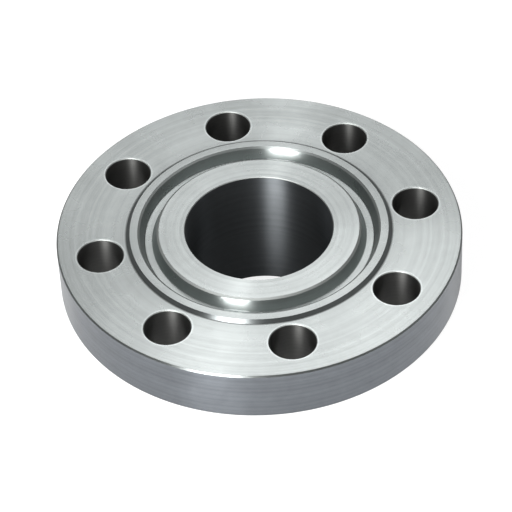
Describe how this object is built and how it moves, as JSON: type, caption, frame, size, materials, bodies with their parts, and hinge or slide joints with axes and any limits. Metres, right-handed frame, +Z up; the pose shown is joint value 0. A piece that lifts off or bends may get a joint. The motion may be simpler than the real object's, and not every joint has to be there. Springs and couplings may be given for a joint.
{
  "type": "ring type joint flange",
  "caption": "Weld neck pipe flange with a ring type joint face: a drilled disc with a low raised face, a ring groove for a metal gasket, a bore and a tapered hub",
  "frame": {"origin": "centre of the weld end, at the lowest point of the part", "axes": "+Z runs up the bore towards the raised face. The bolt holes straddle +X and +Y: the first is at 22.5 degrees from +X."},
  "size_m": [0.265, 0.265, 0.092],
  "materials": {
    "machined_steel": "bare forged steel, turned all over with fine concentric tool lines, drilled holes, edges broken, dry with no coating"
  },
  "bodies": {
    "root": {"flange": "machined_steel"}
  },
  "joints": []
}
